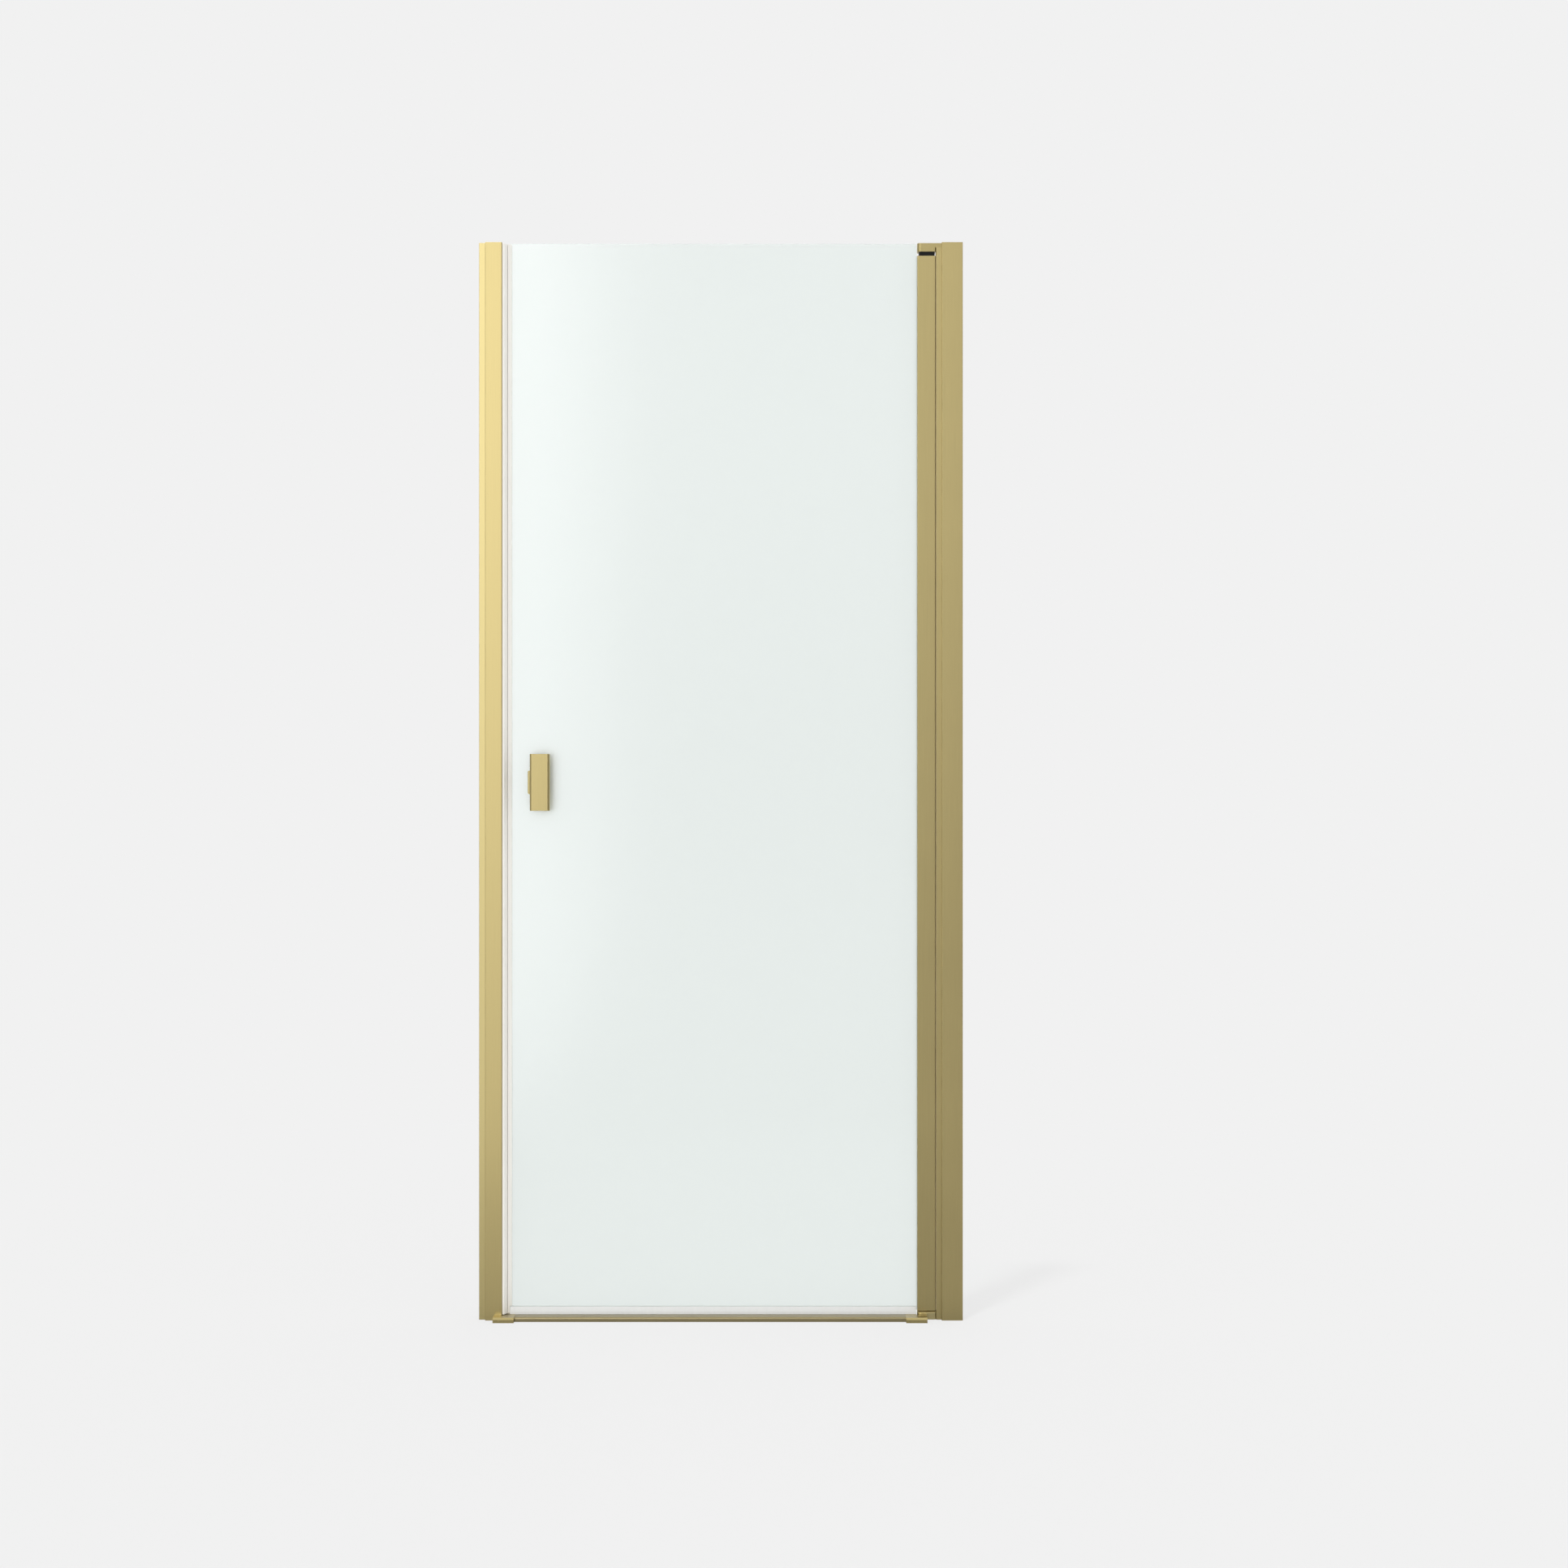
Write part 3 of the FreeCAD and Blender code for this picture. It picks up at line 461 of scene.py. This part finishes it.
# the tan stands in for the brass walls mirrored in the shaded seam: painted reflection and shade
seam_reflection_plastic = skin_finish("seam_reflection_plastic", (0.78, 0.68, 0.42), (0.74, 0.64, 0.40), 0.4, 0.55,
                          fine_relief)
dress("seam_seal", seam_reflection_plastic)
black_rubber = skin_finish("black_rubber", (0.018, 0.018, 0.018), (0.026, 0.026, 0.026), 0.55,
                           0.75, matt_relief)
for node in ("glazing_gasket_front", "glazing_gasket_rear"):
    dress(node, black_rubber)
dress("cam_follower", black_nylon)


# ---- Glass ---------------------------------------------------------------------------------
# Tempered 6 mm glass, smooth on the room side and etched satin on the shower side, with ground
# and polished edges. Its hinged edge steps back round the pivot, and two holes take the studs.
etched, given, filled = node_group(
    "etched_satin",
    [("Smooth", FLOAT, 0.84), ("Rough", FLOAT, 0.96), ("Polished", FLOAT, 0.09)],
    [("Roughness", FLOAT), ("Height", FLOAT)])
place = add(etched, "ShaderNodeTexCoord").outputs["Object"]
frost = noise(etched, place, 1800.0, 2.0)
half_glass = 3.0
etched_from = (half_glass - 0.1) * mm                  # only the shower side lies beyond this Y
on_face = math_node(etched, "GREATER_THAN", parts(etched, place)["Y"], etched_from)
satin = plus(etched, given["Smooth"],
             times(etched, minus(etched, given["Rough"], given["Smooth"]), frost))
elsewhere = times(etched, minus(etched, 1.0, on_face), given["Polished"])
etched.links.new(plus(etched, times(etched, on_face, satin), elsewhere), filled["Roughness"])
etched.links.new(times(etched, on_face, frost), filled["Height"])

satin_glass = finish("satin_glass", etched, {}, 0.002 * mm, Transmission_Weight=1.0, IOR=1.5,
                     Base_Color=(0.925, 0.964, 0.947, 1.0))
# the lamp shines straight through, so the pane throws only a faint shadow
tree = satin_glass.node_tree
see_through = add(tree, "ShaderNodeBsdfTransparent", [("Color", (0.93, 0.96, 0.95, 1.0))])
to_lamps = add(tree, "ShaderNodeMixShader",
               [(0, add(tree, "ShaderNodeLightPath").outputs["Is Shadow Ray"]),
                (1, tree.nodes["Principled BSDF"].outputs[0]), (2, see_through.outputs[0])])
tree.links.new(to_lamps.outputs[0], tree.nodes["Material Output"].inputs["Surface"])


def circle(a, b, radius, steps=48):
    turns = [2 * math.pi * i / steps for i in range(steps)]
    return [Vector((a + radius * math.cos(t), b + radius * math.sin(t))) * mm for t in turns]


glass_low, glass_high = ends("glass_pane")
ground_rim, corner = 0.15, 2.0                         # its edges' and its corners' rounding
step_z, notch_z = 1963.1, 1976.8                       # where the hinged edge steps back
step_x, notch_x = ends("hinge_profile")[0].x + 1.3, 363.7
stud_x, stud_heights, stud_hole = -350.5, (986.0, 1010.0), 6.0
pane = [(glass_low.x, glass_low.z, corner), (glass_high.x, glass_low.z, 0.0),
        (glass_high.x, step_z, 1.0), (step_x, step_z, 0.5), (step_x, notch_z, 0.5),
        (notch_x, notch_z, 0.5), (notch_x, glass_high.z, corner),
        (glass_low.x, glass_high.z, corner)]
rings = [outline(pane)] + [circle(stud_x, z, stud_hole) for z in stud_heights]
piece("satin_pane", [slab(rings, "y", -half_glass, half_glass, ground_rim)],
      satin_glass, "door", "satin_glass", "glass_pane")


# ---- Door seal and its magnet --------------------------------------------------------------
# The same milky plastic in a darker copy, which is painted shade, clipped on the free edge of the
# glass: a hollow nose with a magnetic strip, and two thin legs that grip the glass.
shaded_milky_plastic = skin_finish("shaded_milky_plastic", (0.85, 0.84, 0.79), (0.82, 0.81, 0.76),
                                 0.32, 0.46, fine_relief, magnets_and_gap_shade=(0.84, 0.81, 0.76))
door_low, door_high = ends("door_seal")
nose_x, seat_x, legs_x = door_low.x, glass_low.x - 0.05, door_high.x
nose = [(nose_x, -5.0, 0.7), (seat_x, -4.4, 0.4), (seat_x, 4.4, 0.4), (nose_x, 5.0, 0.7)]
rings = [outline(nose), outline(magnet_pocket(nose_x + 0.8))]
meshes = [slab(rings, "z", door_low.z, door_high.z, seal_rim)]
legs_from = ends("bottom_seal")[1].z + 0.6             # the legs end above the bottom seal
grip, leg_end, leg_root = half_glass + 0.05, 3.45, 3.9      # each side's faces, off the middle
for side in (-1, 1):
    leg = [(seat_x - 0.55, side * grip, 0.0), (legs_x, side * grip, 0.15),
           (legs_x, side * leg_end, 0.2), (seat_x + 1.5, side * leg_root, 1.0),
           (seat_x - 0.55, side * leg_root, 0.0)]
    meshes.append(slab([outline(leg)], "z", legs_from, door_high.z, 0.1, 1))
piece("door_seal_extrusion", meshes, shaded_milky_plastic, "door", "pale_seal", "door_seal")
dress("door_magnet", magnet_strip)


# ---- Bottom seal ---------------------------------------------------------------------------
# Clear soft plastic clipped on the lower edge of the glass. Its sloping front skirt comes down
# to the sill bar, and a thin curved lip behind throws the water back into the shower.
clear_plastic = skin_finish("clear_plastic", (0.87, 0.88, 0.87), (0.84, 0.85, 0.84), 0.24, 0.34,
                            0.003 * mm, Transmission_Weight=0.2, IOR=1.45)


def lip(root, bend, tip, thickness, steps=7):
    """A thin curved lip, up one side from the root and back down the other, as corners."""
    root, bend, tip = Vector(root), Vector(bend), Vector(tip)
    left, right = [], []
    for i in range(steps + 1):
        t = i / steps
        middle = root * (1 - t) ** 2 + bend * 2 * t * (1 - t) + tip * t * t
        along = ((bend - root) * (1 - t) + (tip - bend) * t).normalized()
        across = Vector((-along.y, along.x)) * thickness * (1 - 0.45 * t) / 2
        left.append((*(middle + across), 0.0))
        right.append((*(middle - across), 0.0))
    return right + left[::-1]


clip_low, clip_high = ends("bottom_seal")
top_z, seat_z, under_z = clip_high.z, glass_low.z - 0.1, 14.8     # its top, seat and underside
rests_z = ends("sill_bar")[1].z + 0.1                  # the skirt just clears the bar
grips = [(-3.7, top_z, 0.2), (-grip, top_z - 0.5, 0.1), (-grip, seat_z, 0.0),
         (grip, seat_z, 0.0), (grip, top_z - 0.5, 0.1), (4.2, top_z, 0.2), (4.45, under_z, 0.8)]
rear_lip = lip((2.2, under_z + 0.1), (2.1, 11.6), (3.9, clip_low.z + 0.15), 1.2)
skirt = [(-3.4, under_z, 1.0), (-6.5, rests_z, 0.1), (-7.3, rests_z, 0.1), (-6.6, 13.6, 3.0)]
clip = outline(grips + rear_lip + skirt)
piece("bottom_seal_extrusion", [slab([clip], "x", clip_low.x, clip_high.x, 0.08, 1)],
      clear_plastic, "door", "clear_seal", "bottom_seal")


# ---- Handle --------------------------------------------------------------------------------
# A brushed brass pull plate on each face, held off the glass by a brass block. Steel studs in
# soft sleeves pass through the glass, with thin clear pads under the blocks.
hand_brushed = (1500.0, 1500.0, 20.0)
handle_brass = metal_finish("handle_brass", (0.437, 0.36, 0.167), hand_brushed, 0.28, 0.38)
block_brass = metal_finish("block_brass", (0.43, 0.355, 0.165), hand_brushed, 0.30, 0.40)
plate_low, plate_high = ends("handle_plate_front")
plate_back, plate_face = 37.0, 45.0                    # how far the plate's two faces stand off
for face, side in (("front", -1), ("rear", 1)):
    section = [(plate_low.x, side * plate_back, 0.8), (plate_low.x, side * plate_face, 4.0),
               (plate_high.x, side * plate_face, 4.0), (plate_high.x, side * plate_back, 0.8)]
    piece("pull_plate_" + face,
          [slab([outline(section, 9)], "z", plate_low.z, plate_high.z, 0.5, 3)],
          handle_brass, "door", "brass_tone_handle", "handle_plate_" + face)
    dress("handle_block_" + face, block_brass)
    soften("handle_block_" + face)
for node in ("handle_bushes", "handle_pads"):
    dress(node, clear_plastic)
for node in ("handle_studs", "handle_plate_screws", "handle_grub_screws"):
    dress(node, bright_steel)


# ---- Sill ----------------------------------------------------------------------------------
# A hollow bar on the tray, brushed along its length, plugged at both ends into cast end blocks
# that stand in front of the frame's feet.
sill_brass = metal_finish("sill_brass", (0.362, 0.305, 0.168), (12.0, 1500.0, 1500.0), 0.26, 0.34)
dress("sill_bar", sill_brass)
cast_brass = cast_metal("cast_brass", (0.48, 0.396, 0.182), 0.24, 0.32)
for node in ("sill_cap_left", "sill_cap_right"):
    dress(node, cast_brass)
    soften(node)


# ---- Screws and nut plates -----------------------------------------------------------------
# Plain stainless screws at the back, with hexagon sockets, the plates they pull against, and the
# screw that fixes the cam.
for node in ("strike_adjust_screws", "strike_nut_plates", "bracket_screws",
             "hinge_adjust_screws", "hinge_nut_plates", "follower_screw"):
    dress(node, bright_steel)


# ---- Floor ---------------------------------------------------------------------------------
# A pale floor that meets the background without a seam and keeps the door's faint shadow. Metal
# and glass mirror it as a dim studio floor that ends a few steps in front of the door.
pale = 0.88
background = (pale, pale, pale, 1.0)
floor_mesh = bpy.data.meshes.new("floor")
disc = bmesh.new()
bmesh.ops.create_circle(disc, cap_ends=True, radius=12.0, segments=96)
disc.to_mesh(floor_mesh)
disc.free()
floor = bpy.data.objects.new("floor", floor_mesh)
bpy.context.scene.collection.objects.link(floor)

paint = bpy.data.materials.new("floor_paint")
paint.use_nodes = True
floor_mesh.materials.append(paint)
tree = paint.node_tree
tree.nodes.clear()
place = add(tree, "ShaderNodeTexCoord").outputs["Object"]
far = add(tree, "ShaderNodeVectorMath", [(0, place)], operation="LENGTH").outputs["Value"]
depth = parts(tree, place)["Y"]
rays = add(tree, "ShaderNodeLightPath").outputs
through_glass = rays["Is Transmission Ray"]
mirrored = times(tree, rays["Is Glossy Ray"], minus(tree, 1.0, through_glass))
# a share of the paint near the door takes light and shadow, and the rest is as pale as the air
seen_plainly = minus(tree, 1.0, math_node(tree, "ADD", mirrored, through_glass, clamp=True))
lit_share = times(tree, ramp(tree, far, (1.3, 0.2), (3.0, 0.0), smooth=True), seen_plainly)
lit = add(tree, "ShaderNodeBsdfDiffuse", [("Color", (0.63, 0.63, 0.63, 1.0))])
# in a mirror it is dim in front of the door, dimmest at its foot, and pale behind it
by_distance = ramp(tree, far, (1.5, 0.45), (10.0, 0.54), smooth=True)
by_foot = ramp(tree, depth, (-0.15, 1.0), (-0.03, 0.78), smooth=True)
behind_door = ramp(tree, depth, (-0.02, 0.0), (0.06, 0.42), smooth=True)
mirror_tone = plus(tree, times(tree, by_distance, by_foot), behind_door)
glow_tone = tint(tree, mirrored, background, mirror_tone)
glow = add(tree, "ShaderNodeEmission", [("Color", glow_tone), ("Strength", 1.0)])
both = add(tree, "ShaderNodeMixShader", [(0, lit_share), (1, glow.outputs[0]),
                                         (2, lit.outputs[0])])
# the mirrored floor ends there, so the softbox shows below it
beyond = times(tree, ramp(tree, far, (2.4, 0.0), (2.9, 1.0), smooth=True), mirrored)
nothing = add(tree, "ShaderNodeBsdfTransparent")
open_end = add(tree, "ShaderNodeMixShader", [(0, beyond), (1, both.outputs[0]),
                                             (2, nothing.outputs[0])])
add(tree, "ShaderNodeOutputMaterial", [("Surface", open_end.outputs[0])])


# ---- Studio --------------------------------------------------------------------------------
# Even light from all round, and the same pale background as the floor. Metal and glass mirror
# a studio: a pale wall in front of the door, dimmer sides, and a tall softbox at its left.
world = bpy.data.worlds.new("studio")
bpy.context.scene.world = world
world.use_nodes = True
tree = world.node_tree
tree.nodes.clear()
ways = parts(tree, add(tree, "ShaderNodeTexCoord").outputs["Generated"])
ahead = math_node(tree, "MAXIMUM", times(tree, ways["Y"], -1.0), 0.001)
sideways = math_node(tree, "DIVIDE", ways["X"], ahead)
upward = math_node(tree, "DIVIDE", ways["Z"], ahead)

# the wall is brighter towards its top and its left, and fades into the sides
wall = times(tree, ramp(tree, upward, (-0.02, 0.32), (0.16, 1.11), smooth=True),
             ramp(tree, sideways, (-0.25, 1.12), (0.02, 0.64), smooth=True))
on_wall = ramp(tree, ways["Y"], (-0.75, 1.0), (-0.15, 0.0), smooth=True)
behind = ramp(tree, ways["Y"], (-0.1, 0.0), (0.4, pale), smooth=True)
sides = times(tree, ramp(tree, ways["Y"], (-0.1, 1.0), (0.4, 0.0), smooth=True),
              ramp(tree, ways["Z"], (0.5, 0.66), (0.95, 1.1), smooth=True))
off_wall = times(tree, minus(tree, 1.0, on_wall), plus(tree, behind, sides))
room = plus(tree, times(tree, on_wall, wall), off_wall)

# the softbox has a round lower right corner, is brightest inside, and fades at left and top
corner_x = math_node(tree, "MAXIMUM", plus(tree, sideways, 0.2105), 0.0)
corner_z = math_node(tree, "MAXIMUM", minus(tree, -0.025, upward), 0.0)
squares = plus(tree, times(tree, corner_x, corner_x), times(tree, corner_z, corner_z))
from_corner = math_node(tree, "SQRT", squares)
rim = ramp(tree, from_corner, (0.146, 0.6), (0.154, 0.0), smooth=True)
inside = times(tree, ramp(tree, from_corner, (0.11, 2.3), (0.15, 0.0)),
               ramp(tree, upward, (0.05, 1.0), (0.25, 1.3), smooth=True))
fade = times(tree, ramp(tree, sideways, (-0.36, 0.0), (-0.24, 1.0), smooth=True),
             ramp(tree, upward, (0.35, 1.0), (0.5, 0.0), smooth=True))
softbox = times(tree, plus(tree, rim, inside), fade)

even_light = (1.0, 1.0, 1.0, 1.0)
rays = add(tree, "ShaderNodeLightPath").outputs
lighting = tint(tree, rays["Is Glossy Ray"], even_light, plus(tree, room, softbox))
seen = math_node(tree, "ADD", rays["Is Camera Ray"], rays["Is Transmission Ray"], clamp=True)
shown = tint(tree, seen, lighting, background)
sky = add(tree, "ShaderNodeBackground", [("Color", shown), ("Strength", 1.0)])
add(tree, "ShaderNodeOutputWorld", [("Surface", sky.outputs[0])])


# ---- Lamp and camera -----------------------------------------------------------------------
# A high lamp, a little in front and to the left, throws the faint shadow. The camera stands in
# front at half height, to the right of the door's middle.
high_lamp = bpy.data.objects.new("high_lamp", bpy.data.lights.new("high_lamp", "SUN"))
high_lamp.data.energy = 1.3
high_lamp.data.angle = math.radians(3.5)
high_lamp.location = (-0.795, -1.68, 6.0)
high_lamp.rotation_euler = (-high_lamp.location).to_track_quat("-Z", "Y").to_euler()
high_lamp.visible_camera = False
high_lamp.visible_transmission = False
high_lamp.visible_glossy = False
bpy.context.scene.collection.objects.link(high_lamp)

camera = bpy.data.objects.new("camera", bpy.data.cameras.new("camera"))
camera.data.lens = 61.9
camera.data.sensor_width = 36.0
camera.data.clip_end = 100.0
camera.location = (0.1174, -5.020, 0.995)
camera.rotation_euler = (math.radians(90), 0.0, 0.0)
bpy.context.scene.collection.objects.link(camera)
bpy.context.scene.camera = camera
bpy.context.scene.view_settings.view_transform = "Standard"
